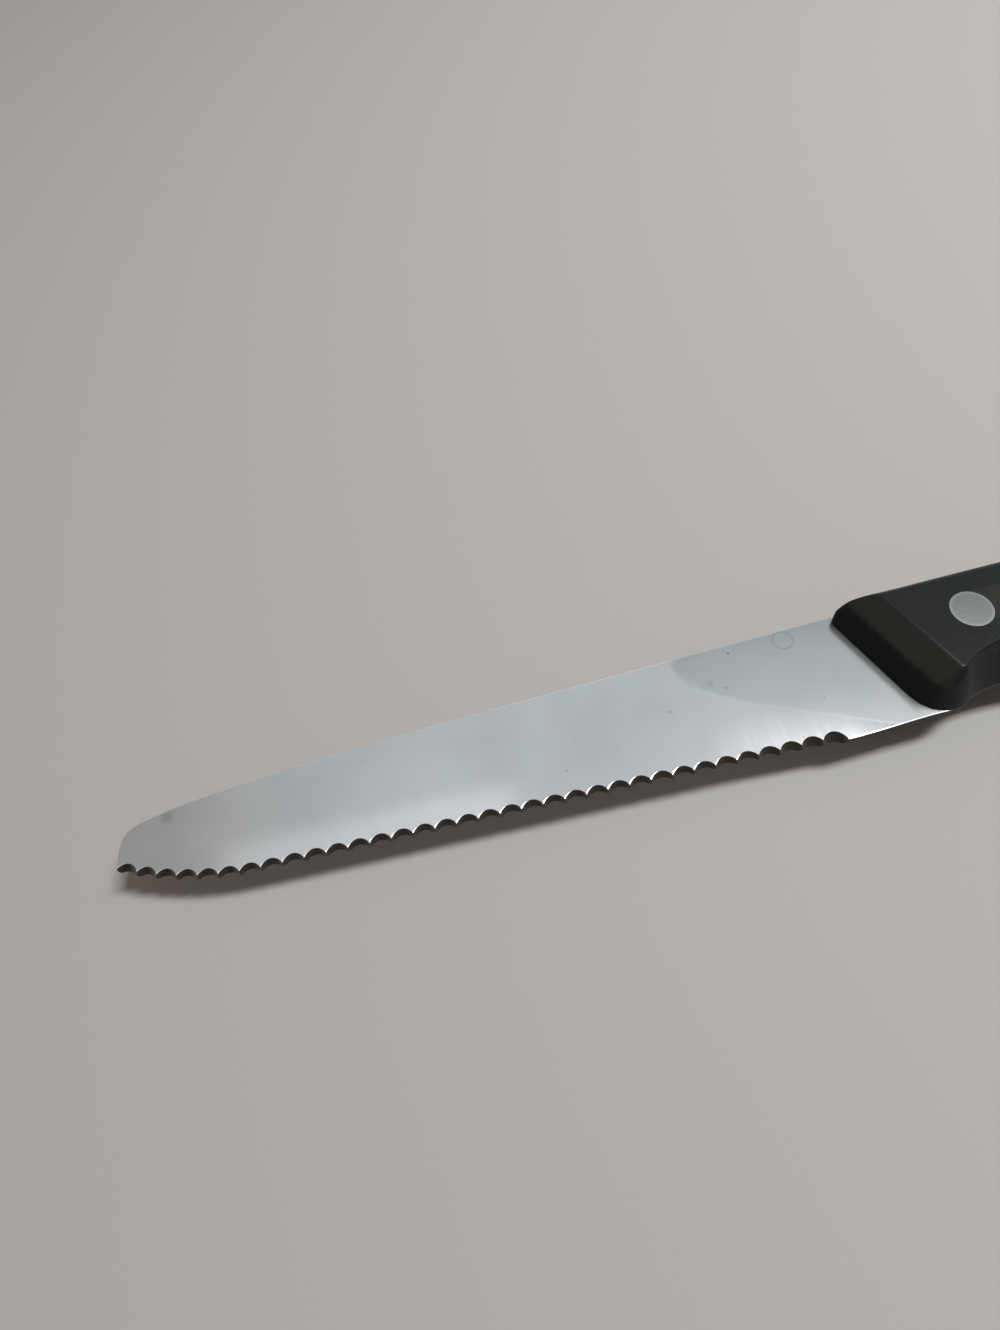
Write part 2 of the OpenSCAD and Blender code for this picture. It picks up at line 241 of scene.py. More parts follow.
def polished_steel():
    material, tree, shader, place = start_material("polished_stainless_steel", "#d3d7db", 0.26, 1)
    # Belt lines: 0.25 mm apart and about 20 mm long, drawn wider than the real grit so that they show
    stretched = add(tree, "ShaderNodeMapping", {
        "Vector": place, "Scale": (1 / (0.25 * mm), 1 / (20 * mm), 1)})
    lines = add(tree, "ShaderNodeTexNoise", {"Vector": stretched.outputs[0], "Scale": 1, "Detail": 3})
    # Broad clouds of wear, about 15 mm across
    clouds = add(tree, "ShaderNodeTexNoise", {"Vector": place, "Scale": 1 / (15 * mm), "Detail": 2})
    ground = add(tree, "ShaderNodeAttribute", attribute_name="ground")
    skin = add(tree, "ShaderNodeMix", {0: ground.outputs["Fac"], 6: paint("#bfc1c2"), 7: paint("#dedddf")},
               data_type="RGBA")
    worn = add(tree, "ShaderNodeMapRange", {0: clouds.outputs["Fac"], 1: 0.35, 2: 0.7, 3: 1.0, 4: 0.9})
    tint = add(tree, "ShaderNodeMix", {0: 1.0, 6: skin.outputs[2], 7: worn.outputs[0]},
               data_type="RGBA", blend_type="MULTIPLY")
    # Tiny pits, about 0.3 mm across and 7 mm apart, and the single marks of the list
    pits = add(tree, "ShaderNodeTexVoronoi", {"Vector": place, "Scale": 1 / (7 * mm)})
    dark = add(tree, "ShaderNodeMapRange", {0: pits.outputs["Distance"], 1: 0.015, 2: 0.03, 3: 0.3, 4: 0.0})
    for x, y, ring, blur, darkness in steel_marks:
        away = add(tree, "ShaderNodeVectorMath", {0: place, 1: (x * mm, y * mm, left_face_z * mm)},
                   operation="DISTANCE")
        off_ring = add(tree, "ShaderNodeMath", {0: away.outputs["Value"], 1: ring * mm},
                       operation="SUBTRACT")
        off_ring = add(tree, "ShaderNodeMath", {0: off_ring.outputs[0]}, operation="ABSOLUTE")
        mark = add(tree, "ShaderNodeMapRange", {
            0: off_ring.outputs[0], 1: 0.0, 2: blur * mm, 3: darkness, 4: 0.0},
            interpolation_type="SMOOTHSTEP")
        dark = add(tree, "ShaderNodeMath", {0: dark.outputs[0], 1: mark.outputs[0]}, operation="MAXIMUM")
    marked = add(tree, "ShaderNodeMix", {0: dark.outputs[0], 6: tint.outputs[2], 7: paint("#4a4640")},
                 data_type="RGBA")
    # The stamped edge all round is never ground, so it stays duller; its colour is also painted darker, as
    # painted shade for the shadowed floor that the edge's wall mirrors
    edge = add(tree, "ShaderNodeAttribute", attribute_name="edge")
    edged = add(tree, "ShaderNodeMix", {0: edge.outputs["Fac"], 6: marked.outputs[2], 7: paint("#4e4a46")},
                data_type="RGBA")
    tree.links.new(edged.outputs[2], shader["Base Color"])
    gloss = add(tree, "ShaderNodeMapRange", {0: lines.outputs["Fac"], 1: 0.3, 2: 0.7, 3: 0.105, 4: 0.118})
    dull = add(tree, "ShaderNodeMix", {0: ground.outputs["Fac"], 2: 0.18, 3: gloss.outputs[0]})
    # Tumbling dulls the stamped edge and a narrow band beside it on both faces
    tumbled = add(tree, "ShaderNodeAttribute", attribute_name="tumbled")
    duller = add(tree, "ShaderNodeMix", {0: tumbled.outputs["Fac"], 2: dull.outputs[0], 3: 0.62})
    tree.links.new(duller.outputs[0], shader["Roughness"])
    bump = add(tree, "ShaderNodeBump", {
        "Height": lines.outputs["Fac"], "Strength": 0.006, "Distance": bump_depth * mm})
    tree.links.new(bump.outputs[0], shader["Normal"])
    return material


face_steel = polished_steel()
print("steel:", len(face_steel.node_tree.nodes), "nodes")


# %% Steel as the grinding wheel leaves it, with painted shade
def wheel_cut_steel_painted_shade():
    """The scallops' walls: the same steel, duller from the coarse wheel's marks, and painted darker as
    painted shade for the dark room they mirror.
    """
    material, tree, shader, place = start_material("wheel_cut_steel_painted_shade", "#67615f", 0.34, 1)
    marks = add(tree, "ShaderNodeTexNoise", {"Vector": place, "Scale": 1 / (0.3 * mm), "Detail": 2})
    gloss = add(tree, "ShaderNodeMapRange", {0: marks.outputs["Fac"], 3: 0.25, 4: 0.45})
    tree.links.new(gloss.outputs[0], shader["Roughness"])
    return material


cut_steel = wheel_cut_steel_painted_shade()
rim_steel = plain_material("burnished_stainless_steel", "#d5d9dc", 0.36, 1)
print("scallops:", cut_steel.name, "and", rim_steel.name)

# %% [markdown]
# ## The plastic and the rivets
# The scales are acetal, a hard black plastic that is moulded to shape. The mould's satin surface gives a
# broad, weak shine, which use makes smoother on top, and a little dust stays on it. The rivets are
# aluminium, pressed together and then sanded flush with the scales, which leaves them grey and satin.


# %% Moulded black acetal
def moulded_acetal():
    material, tree, shader, place = start_material("moulded_black_acetal", "#14171a", 0.4)
    shader["IOR"].default_value = 1.46
    shader["Specular IOR Level"].default_value = 0.15
    # The mould's grain is 0.2 mm; the dust is specks of the same size, about 2 mm apart
    grain = add(tree, "ShaderNodeTexNoise", {"Vector": place, "Scale": 1 / (0.2 * mm), "Detail": 3})
    clouds = add(tree, "ShaderNodeTexNoise", {"Vector": place, "Scale": 1 / (9 * mm), "Detail": 4})
    specks = add(tree, "ShaderNodeTexVoronoi", {"Vector": place, "Scale": 1 / (1.8 * mm)})
    dust = add(tree, "ShaderNodeMapRange", {0: specks.outputs["Distance"], 1: 0.04, 2: 0.08, 3: 0.5, 4: 0.0})
    skin = add(tree, "ShaderNodeMix", {0: clouds.outputs["Fac"], 6: paint("#1d2023"), 7: paint("#25282b")},
               data_type="RGBA")
    dusty = add(tree, "ShaderNodeMix", {0: dust.outputs[0], 6: skin.outputs[2], 7: paint("#5f6163")},
                data_type="RGBA")
    # The broad bevel in front is painted a little paler and browner: painted light, for how the light falls
    # on it
    bevel_light = add(tree, "ShaderNodeAttribute", attribute_name="bevel_light")
    paler = add(tree, "ShaderNodeMix", {0: bevel_light.outputs["Fac"], 6: dusty.outputs[2], 7: paint("#333230")},
                data_type="RGBA")
    tree.links.new(paler.outputs[2], shader["Base Color"])
    gloss = add(tree, "ShaderNodeMapRange", {0: clouds.outputs["Fac"], 1: 0.3, 2: 0.7, 3: 0.25, 4: 0.3})
    # The sides and the nose keep the mould's coarser grain, which hands have worn off the top
    upright = add(tree, "ShaderNodeAttribute", attribute_name="upright")
    satin = add(tree, "ShaderNodeMix", {0: upright.outputs["Fac"], 2: gloss.outputs[0], 3: 0.48})
    tree.links.new(satin.outputs[0], shader["Roughness"])
    bump = add(tree, "ShaderNodeBump", {
        "Height": grain.outputs["Fac"], "Strength": 0.12, "Distance": bump_depth * mm})
    tree.links.new(bump.outputs[0], shader["Normal"])
    return material


acetal = moulded_acetal()
print("scales:", acetal.name)


# %% Sanded aluminium
def sanded_aluminium():
    material, tree, shader, place = start_material("sanded_aluminium", "#b4b5b6", 0.4, 1)
    # Sanding lines run along the handle, 0.15 mm apart
    stretched = add(tree, "ShaderNodeMapping", {"Vector": place, "Scale": (1 / (3 * mm), 1 / (0.15 * mm), 1)})
    lines = add(tree, "ShaderNodeTexNoise", {"Vector": stretched.outputs[0], "Scale": 1, "Detail": 3})
    shade = add(tree, "ShaderNodeMix", {0: lines.outputs["Fac"], 6: paint("#7a7b7b"), 7: paint("#808181")},
                data_type="RGBA")
    # The rim of a head is painted a little brighter: a painted highlight
    rim = add(tree, "ShaderNodeAttribute", attribute_name="rim")
    rim_highlight = add(tree, "ShaderNodeMix", {0: rim.outputs["Fac"], 6: shade.outputs[2], 7: paint("#8a8b8b")},
                 data_type="RGBA")
    tree.links.new(rim_highlight.outputs[2], shader["Base Color"])
    gloss = add(tree, "ShaderNodeMapRange", {0: lines.outputs["Fac"], 3: 0.24, 4: 0.3})
    tree.links.new(gloss.outputs[0], shader["Roughness"])
    return material


aluminium = sanded_aluminium()
print("rivets:", aluminium.name)

# %% [markdown]
# ## The outline
# A knife maker stamps the blade and its tang from one sheet. Its outline is described here as in the CAD
# source, with x counted from the tip and y from the line of the cusps, in millimetres. The lengths that
# the frame knows are measured from it, and the curves follow shares of those lengths.

# %% Sizes of the steel
steel_low, steel_high = (np.array(corner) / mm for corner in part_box("blade"))
overall_l, overall_h, steel_t = steel_high - steel_low
blade_l = 123.6
blade_h = 21.4
handle_l = overall_l - blade_l
edge_t = 0.75
sweep_l = 23.0
sweep_r = 55.0
tip_l = 7.5
tip_h = 12.8
heel_drop = 0.8
tooth_drop = 0.4
hook_drop = 4.2
origin = np.array([steel_low[0], steel_low[1] + hook_drop, (steel_low[2] + steel_high[2]) / 2])
print("the steel measures", [round(float(size), 2) for size in (overall_l, overall_h, steel_t)], "mm")


# %% Curves
def bezier(a, b, c, d, count):
    """Points on a cubic curve from a to d, without d."""
    t = np.arange(count)[:, None] / count
    a, b, c, d = (np.array(p, float) for p in (a, b, c, d))
    return (1 - t) ** 3 * a + 3 * (1 - t) ** 2 * t * b + 3 * (1 - t) * t ** 2 * c + t ** 3 * d


def swing(a, b, pull_a, pull_b, count):
    """A curve that runs along x at both ends."""
    reach = b[0] - a[0]
    return bezier(a, (a[0] + reach * pull_a, a[1]), (b[0] - reach * pull_b, b[1]), b, count)


def quarter(a, b, pull_x, pull_y, count):
    """A quarter turn, along x at a and along y at b."""
    return bezier(a, (a[0] + (b[0] - a[0]) * pull_x, a[1]), (b[0], b[1] - (b[1] - a[1]) * pull_y), b, count)


fine = 60
blank_r = sweep_r + tooth_drop
nose = np.array([0, sweep_r - math.sqrt(blank_r ** 2 - sweep_l ** 2)])
spine_line = np.vstack([
    bezier((0, nose[1]), (0, 0.849 * tip_h), (0.111 * tip_l, 0.888 * tip_h), (tip_l, tip_h), fine),
    bezier((tip_l, tip_h), (0.212 * blade_l, 0.782 * blade_h), (0.637 * blade_l, 0.892 * blade_h),
           (blade_l, blade_h), 2 * fine),
])
sweep_angles = np.linspace(math.asin(sweep_l / blank_r), 0, fine)[:-1]
sweep_line = np.c_[sweep_l - blank_r * np.sin(sweep_angles), sweep_r - blank_r * np.cos(sweep_angles)]
print("the spine rises from", nose.round(1), "to", (blade_l, blade_h))

# %% [markdown]
# ## The handle's two sides
# The spine side is nearly straight and drops in a round butt. The belly side starts with a groove for the
# forefinger, swells in the palm, draws in and ends in a hook that keeps the hand from slipping off. Both
# run from the front of the scales to the same point at the butt.

# %% Spine side and belly side
crest_h, groove_h, belly_h, waist_h, butt_h = 22.9, 3.1, 0.4, 1.9, 6.5
front_slant = math.radians(20.4)
heel_corner = 5.0
front_foot = blade_l + blade_h * math.tan(front_slant)
heel_end = np.array([front_foot + 0.55 * heel_corner, 0.15 * heel_drop])
butt = np.array([overall_l, butt_h])
crest = np.array([blade_l + 0.444 * handle_l, crest_h])
groove = np.array([blade_l + 0.233 * handle_l, groove_h])
belly = np.array([blade_l + 0.533 * handle_l, belly_h])
waist = np.array([blade_l + 0.771 * handle_l, waist_h])
hook = np.array([blade_l + 0.938 * handle_l, -hook_drop])
shoulder = np.array([blade_l, blade_h])
rise = crest - shoulder
spine_side = np.vstack([
    bezier(shoulder, shoulder + rise * (0.325, 0.49), shoulder + rise * (0.643, 1), crest, fine),
    quarter(crest, butt, 0.5, 0.88, 2 * fine),
    butt,
])
belly_side = np.vstack([
    swing(heel_end, groove, 0.4, 0.87, fine),
    swing(groove, belly, 0.45, 0.45, fine),
    swing(belly, waist, 0.45, 0.45, fine),
    swing(waist, hook, 0.45, 0.45, fine),
    quarter(hook, butt, 0.6, 0.6, fine),
    butt,
])
print("handle from", shoulder, "to", butt)

# %% [markdown]
# ## The plate of the blade
# The blade's face isn't flat: from a curved line in front of the handle it is ground thinner towards the
# edge, and more steeply where the ground strip is narrow, at the heel. That tilt of a few degrees is what
# lets the heel mirror the light above. The plate is a loft of cross-sections that run from the edge to
# the spine. Each section has one row of points exactly on the grinding line, so that it stays clean.

# %% Sections from the edge to the spine
cusp_back, scallop_pitch = 9.5, 3.5
cusp_x = blade_l - cusp_back
heel_start = np.array([cusp_x + 0.7 * scallop_pitch, -heel_drop])
heel_reach = heel_end - heel_start
edge_line = np.vstack([
    sweep_line,
    [(sweep_l, -tooth_drop), (heel_start[0] - 1.2, -tooth_drop)],
    bezier(heel_start, heel_start + heel_reach * (0.4, 0), heel_start + heel_reach * (0.75, 1),
           heel_end, fine),
    belly_side,
])
upper_line = np.vstack([spine_line, spine_side])


def distances(line):
    """How far each point of a line is from its start, along the line."""
    return np.r_[0, np.cumsum(np.linalg.norm(np.diff(line, axis=0), axis=1))]


def walk(line, stops):
    """Points on a line, at the given distances from its start."""
    steps = distances(line)
    return np.c_[np.interp(stops, steps, line[:, 0]), np.interp(stops, steps, line[:, 1])]


def length_at(line, place):
    """How far along a line its point nearest to a place lies."""
    return distances(line)[np.argmin(np.linalg.norm(line - place, axis=1))]


# Where a section ends on the edge line and on the spine side, and how many sections follow it
stations = [
    ((0, nose[1]), (0, nose[1]), 40), ((20, -0.4), (19, 14.4), 60), ((80, -0.4), (78, 19), 40),
    ((104, -0.4), (97, 20), 60), (heel_start, (109, 20.7), 50), (heel_end, (126.3, 21.6), 40),
    ((150, groove_h), (150, 22.5), 60), (hook, (232, 16.0), 40), (butt, butt, 0),
]


def section_ends(line, ends, last):
    """Where the sections meet a line: evenly spaced between the stations' ends, and one last point."""
    dense = walk(line, np.arange(0, 2 * overall_l, 0.1))
    marks = [length_at(dense, end) for end in ends]
    counts = [count for _, _, count in stations]
    stops = [np.linspace(a, b, count, endpoint=False) for a, b, count in zip(marks, marks[1:], counts)]
    return np.vstack([walk(line, np.concatenate(stops)), last])


# The last section is the short one that closes the butt, a hair inside the outline's end
butt_inset, butt_half = 0.001, 0.15
edge_points = section_ends(edge_line, [low for low, _, _ in stations], butt - (butt_inset, butt_half))
upper_points = section_ends(upper_line, [high for _, high, _ in stations], butt - (butt_inset, -butt_half))
print(len(edge_points), "sections")

# %% How deep the face is ground
# The grinding line is one curve. Its points count forwards and up from below the shoulder, in blade heights
plunge_shares = ((1.223, 1.023), (1.479, 0.657), (0.825, 0.411), (-0.294, -0.056))
plunge_corners = [shoulder * (1, 0) + np.array(share) * (-blade_h, blade_h) for share in plunge_shares]
plunge = np.vstack([bezier(*plunge_corners, 80), plunge_corners[-1]])
plunge_step = np.diff(plunge, axis=0)
edge_run_out, spine_run_out = 0.5, 1.8


def into_ground(points):
    """Distance of points from the grinding line, positive on the ground side."""
    to_start = points[:, None] - plunge[None, :-1]
    share = np.clip((to_start * plunge_step).sum(2) / (plunge_step ** 2).sum(1), 0, 1)
    away = to_start - share[..., None] * plunge_step
    nearest = np.argmin((away ** 2).sum(2), axis=1)
    row = np.arange(len(points))
    side = plunge_step[nearest, 0] * away[row, nearest, 1] - plunge_step[nearest, 1] * away[row, nearest, 0]
    return -np.sign(side) * np.sqrt((away[row, nearest] ** 2).sum(1))


def grind_cover(points):
    """0 on the flat, 1 where the face is fully ground, with the wheel's soft run-out between them."""
    more = spine_run_out - edge_run_out
    run_out = edge_run_out + more * np.clip(points[:, 1] / blade_h, 0, 1) ** 2
    share = np.clip(into_ground(points) / run_out, 0, 1)
    return share ** 2 * (3 - 2 * share)


# The height at which the grinding starts, which drops behind the curved line, smoothed over 4 mm
lower_branch = plunge[np.argmin(plunge[:, 0]):]
along = np.arange(-8, overall_l + 8, 0.25)
start_y = np.where(along < lower_branch[0, 0], blade_h, np.interp(along, *lower_branch.T))
start_y[8:-8] = np.convolve(start_y, np.hanning(17) / np.hanning(17).sum(), "valid")
# A last pass leaves the strip along the edge a little steeper: where it starts, as a share of the height
strip_x = (0, 17, 30, 54, 66, 73, 78, 95, 105, 115)
strip_start = (0.5, 0.63, 0.7, 0.72, 0.705, 0.67, 0.62, 0.5, 0.3, 0.1)
# The strip's share of the depth and how softly it starts; the height that is ground to the full depth;
# and how far in front of the scales the grinding ends, and over which length it fades out
strip_depth, strip_softness = 0.2, 0.0025
full_height, fade_gap, fade_l = 11, 3, 12


def half_thickness(points):
    """Half the steel's thickness at points, which the grinding takes down to half of edge_t at the edge."""
    x, y = points.T
    start = np.interp(x, along, start_y)
    # The line of the cusps counts as the edge, up to the last 8 mm of the scallops
    end = np.interp(x, edge_line[:, 0], edge_line[:, 1]) * np.clip((x - cusp_x) / 8 + 1, 0, 1)
    height = np.maximum(start - end, 0.1)
    share = np.clip((start - y) / height, 0, 1)
    before = np.interp(x, strip_x, strip_start)
    strip = (share - before) / (1 - before)
    strip = (strip + np.sqrt(strip ** 2 + strip_softness)) / 2
    narrow = np.minimum(1, height / full_height)
    fade = np.clip((heel_end[0] - fade_gap - x) / fade_l, 0, 1)
    depth = ((1 - strip_depth) * share ** 1.2 + strip_depth * strip) * narrow * fade
    return steel_t / 2 - (steel_t - edge_t) / 2 * depth * grind_cover(points)


print("the steel at two cusps:", 2 * half_thickness(np.array([(30, 0), (90, 0)])).round(2), "mm")

# %% Where the grinding line crosses each section
scan = np.linspace(0, 1, 200)
crossing = []
for low, high in zip(edge_points, upper_points):
    inside = into_ground(low + scan[:, None] * (high - low)) > 0
    crossing.append(scan[inside].max() if inside.any() else 0)
# Sections that it doesn't cross still need their row: low down, and in the middle where they close the butt
lowest = np.interp(edge_points[:, 0], (0.9 * overall_l, overall_l), (0.04, 0.5))
highest = 0.93
crossing = np.clip(crossing, lowest, highest)
print("grinding line crosses", int(((crossing < highest) & (crossing > lowest)).sum()), "sections")


# %% Loft the plate
def from_bmesh(bm, name):
    """An object from a bmesh, with its normals outward."""
    bmesh.ops.recalc_face_normals(bm, faces=bm.faces)
    mesh = bpy.data.meshes.new(name)
    bm.to_mesh(mesh)
    bm.free()
    return placed(name, mesh)


def mesh_object(name, points, faces):
    """An object in the part's frame from points in millimetres, with its doubles merged."""
    bm = bmesh.new()
    corners = [bm.verts.new(Vector(p) * mm) for p in points]
    for face in faces:
        bm.faces.new([corners[i] for i in face])
    bmesh.ops.remove_doubles(bm, verts=bm.verts, dist=1e-6)
    bmesh.ops.dissolve_degenerate(bm, edges=bm.edges, dist=1e-7)
    return from_bmesh(bm, name)


def ring_faces(rings, count):
    """Quads between closed rings of equally many points."""
    return [
        (r * count + i, r * count + (i + 1) % count, (r + 1) * count + (i + 1) % count, (r + 1) * count + i)
        for r in range(rings - 1) for i in range(count)
    ]


# Tumbling breaks the edge by 0.06 mm and lowers the last 0.16 mm of the face; rows crowd at the grinding line
broken_edge, tumbled_w, tumbled_drop, crowd_w = 0.06, 0.16, 0.026, 3.2
sections = []
for low, high, cross in zip(edge_points, upper_points, crossing):
    span = max(np.linalg.norm(high - low), 1e-6)
    trim, soft = min(broken_edge / span, 0.1), min(tumbled_w / span, 0.3)
    near = max(cross - crowd_w / span, 0.3 * cross)
    rows = np.r_[np.linspace(0, near, 8)[:-1], np.linspace(near, cross, 10)[:-1],
                 np.linspace(cross, 1, 8)]
    rows = np.r_[trim, (trim + soft) / 2, soft + rows * (1 - 2 * soft), 1 - (trim + soft) / 2, 1 - trim]
    face = low + rows[:, None] * (high - low)
    rim = low + np.array([[1.0], [0.0]]) * (high - low)
    from_rim = np.minimum(rows, 1 - rows)
    face_z = half_thickness(face) - tumbled_drop * np.clip((soft - from_rim) / soft, 0, 1) ** 1.5
    rim_z = half_thickness(rim) - tumbled_drop - trim * span
    sections.append(np.vstack([
        np.c_[face, face_z], np.c_[rim[:1], rim_z[:1]], np.c_[rim[:1], -rim_z[:1]],
        np.c_[face[::-1], -face_z[::-1]], np.c_[rim[1:], -rim_z[1:]], np.c_[rim[1:], rim_z[1:]],
    ]))
row_count = len(sections[0])
plate_points = np.vstack(sections) + origin
plate_faces = ring_faces(len(sections), row_count)
plate_faces.append(tuple(range(len(plate_points) - row_count, len(plate_points))))
plate = mesh_object("plate", plate_points, plate_faces)
print("plate:", len(plate.data.vertices), "points")

# %% [markdown]
# ## Geometry trees
# Scallops and rivets repeat, so Geometry Nodes make them. Each tree has named inputs for its sizes, and
# sets copies of a shape on points, as real geometry with its material. The modifier's inputs are set by
# the sockets' identifiers, the result is turned into a plain mesh, and the modifier is taken off again.


# %% Start a tree, and turn its result into a mesh
def new_tree(name, sizes):
    """A geometry tree with a Geometry input, a named input for each size, and a Geometry output."""
    tree = bpy.data.node_groups.new(name, "GeometryNodeTree")
    tree.interface.new_socket("Geometry", in_out="INPUT", socket_type="NodeSocketGeometry")
    for size, value in sizes.items():
        kind = "NodeSocketInt" if isinstance(value, int) else "NodeSocketFloat"
        tree.interface.new_socket(size, in_out="INPUT", socket_type=kind)
    tree.interface.new_socket("Geometry", in_out="OUTPUT", socket_type="NodeSocketGeometry")
    return tree, tree.nodes.new("NodeGroupInput"), tree.nodes.new("NodeGroupOutput")


def repeat(tree, points, shape, material, **turn):
    """A shape on every point, as real geometry of one material."""
    copies = add(tree, "GeometryNodeInstanceOnPoints", {"Points": points, "Instance": shape, **turn})
    real = add(tree, "GeometryNodeRealizeInstances", {"Geometry": copies.outputs[0]})
    made = add(tree, "GeometryNodeSetMaterial", {"Geometry": real.outputs[0], "Material": material})
    return made.outputs[0]


def make_with(tree, obj, sizes, name):
    """Runs the tree on an object and gives the result as a new object with a plain mesh."""
    modifier = obj.modifiers.new("make", "NODES")
    modifier.node_group = tree
    for item in tree.interface.items_tree:
        if item.in_out == "INPUT" and item.name in sizes:
            modifier[item.identifier] = sizes[item.name]
    seen = obj.evaluated_get(bpy.context.evaluated_depsgraph_get())
    mesh = bpy.data.meshes.new_from_object(seen)
    obj.modifiers.remove(modifier)
    mesh.name = name
    print(name + ":", len(mesh.vertices), "points,", len(mesh.polygons), "faces")
    return placed(name, mesh)


print("trees are made with", bpy.app.version_string)

# %% [markdown]
# ## The scallops
# Each scallop is the print of a small grinding wheel that is held aslant against the left face. The
# wheels stand an even step apart on a path just outside the edge, so those on the sweep come a little
# closer together. The tree spaces points on that path, sets a leaning wheel on each and cuts them all
# from the plate. Their walls get a steel of their own, because they stay as ground while the face is
# polished, and its colour is painted darker: painted shade for the dark room the walls mirror. Polishing
# also breaks their rims, and the belt takes a little more on the side of the tip.

# %% Draw the path of the wheels
scallop_count, sweep_pitch, scallop_rise = 34, 3.38, 1.0
wheel_r, wheel_w, wheel_lean = 2.5, 12, math.radians(45)
path_r = sweep_r * scallop_pitch / sweep_pitch
straight = cusp_x - sweep_l
last_angle = ((scallop_count - 1.5) * scallop_pitch - straight) / path_r
path_count = 80
path_angles = np.linspace(last_angle, 0, path_count)
straight_x = np.linspace(sweep_l, cusp_x + scallop_pitch / 2, path_count)[1:]
wheel_path = np.vstack([
    np.c_[sweep_l - path_r * np.sin(path_angles), sweep_r - path_r * np.cos(path_angles)],
    np.c_[straight_x, np.full(len(straight_x), sweep_r - path_r)],
])


def curve_object(name, points, radii):
    """An open polyline in the part's frame, from points in millimetres, with a number at each point."""
    curve = bpy.data.curves.new(name, "CURVE")
    curve.dimensions = "3D"
    spline = curve.splines.new("POLY")
    spline.points.add(len(points) - 1)
    for corner, place, radius in zip(spline.points, points, radii):
        corner.co = (*(Vector(place) * mm), 1)
        corner.radius = radius
    return placed(name, curve)


# Each wheel stands on the plane of the face, carried on to its place; the curve's radius holds the tilt
reach = path_r - sweep_r + scallop_rise
rim_line = wheel_path + (0, reach)
face_tilt = np.arctan(half_thickness(rim_line + (0, 0.5)) - half_thickness(rim_line - (0, 0.5)))
wheel_z = half_thickness(rim_line) - reach * np.tan(face_tilt)
path = curve_object("wheel_path", np.c_[wheel_path, wheel_z] + origin, face_tilt)
print("wheels every", scallop_pitch, "mm,", round(path_r - sweep_r, 2), "mm outside the cusps")

# %% Grind the scallops
# A leaning wheel prints an ellipse, whose longer radius runs away from the edge
long_r = wheel_r / math.cos(wheel_lean)
# The cone that breaks a rim: how much wider it is and how far aside, its slope, and its ends about the face
rim_wide, rim_aside, rim_slope, rim_below, rim_above = 0.06, 0.16, math.radians(16), 0.25, 0.8
rim_r = wheel_r + rim_wide
grinding = {
    "Wheels": scallop_count, "Wheel Radius": wheel_r * mm, "Wheel Width": wheel_w * mm, "Lean": -wheel_lean,
    "Offset": (scallop_rise - long_r + path_r - sweep_r) * mm,
    "Rim Bottom": (rim_r - rim_below / math.tan(rim_slope)) * mm,
    "Rim Top": (rim_r + rim_above / math.tan(rim_slope)) * mm, "Rim Depth": (rim_below + rim_above) * mm,
    "Rim Foot": -rim_below * mm, "Rim Aside": -rim_aside * mm,
    "Rim Stretch": (long_r + rim_wide) / rim_r,
}
tree, given, result = new_tree("grind_scallops", grinding)
line = add(tree, "GeometryNodeObjectInfo", {"Object": path})
spots = add(tree, "GeometryNodeCurveToPoints", {
    "Curve": line.outputs["Geometry"], "Count": given.outputs["Wheels"]}, mode="COUNT")
facing = add(tree, "FunctionNodeAlignRotationToVector", {"Vector": spots.outputs["Tangent"]},
             axis="X", pivot_axis="Z")
wheel = add(tree, "GeometryNodeMeshCylinder", {
    "Vertices": 96, "Radius": given.outputs["Wheel Radius"], "Depth": given.outputs["Wheel Width"]})
lean = add(tree, "ShaderNodeCombineXYZ", {"X": given.outputs["Lean"]})
inward = add(tree, "ShaderNodeCombineXYZ", {"Y": given.outputs["Offset"]})
leaning = add(tree, "GeometryNodeTransform", {
    "Geometry": wheel.outputs["Mesh"], "Translation": inward.outputs[0], "Rotation": lean.outputs[0]})
wheels = repeat(tree, spots.outputs["Points"], leaning.outputs[0], cut_steel, Rotation=facing.outputs[0])
# A shallow cone at each wheel, its foot under the face, breaks the rim, more on the side of the tip
cone = add(tree, "GeometryNodeMeshCone", {
    "Vertices": 64, "Radius Top": given.outputs["Rim Top"], "Radius Bottom": given.outputs["Rim Bottom"],
    "Depth": given.outputs["Rim Depth"]})
aside = add(tree, "ShaderNodeCombineXYZ", {
    "X": given.outputs["Rim Aside"], "Y": given.outputs["Offset"], "Z": given.outputs["Rim Foot"]})
long_round = add(tree, "ShaderNodeCombineXYZ", {"X": 1.0, "Y": given.outputs["Rim Stretch"], "Z": 1.0})
broad = add(tree, "GeometryNodeTransform", {
    "Geometry": cone.outputs["Mesh"], "Translation": aside.outputs[0], "Scale": long_round.outputs[0]})
tilt = add(tree, "ShaderNodeCombineXYZ", {"X": add(tree, "GeometryNodeInputRadius").outputs[0]})
tilted = add(tree, "FunctionNodeRotateRotation", {
    "Rotation": facing.outputs[0], "Rotate By": tilt.outputs[0]}, rotation_space="LOCAL")
cones = repeat(tree, spots.outputs["Points"], broad.outputs[0], rim_steel, Rotation=tilted.outputs[0])
blank = add(tree, "GeometryNodeSetMaterial", {"Geometry": given.outputs["Geometry"], "Material": face_steel})
cut = add(tree, "GeometryNodeMeshBoolean", {
    "Mesh 1": blank.outputs[0], "Mesh 2": wheels, "Self Intersection": True},
    operation="DIFFERENCE", solver="EXACT")
tree.links.new(cones, cut.inputs["Mesh 2"])
tree.links.new(cut.outputs["Mesh"], result.inputs[0])
blade = make_with(tree, plate, grinding, "serrated_blade")
bpy.data.objects.remove(plate)
bpy.data.objects.remove(path)


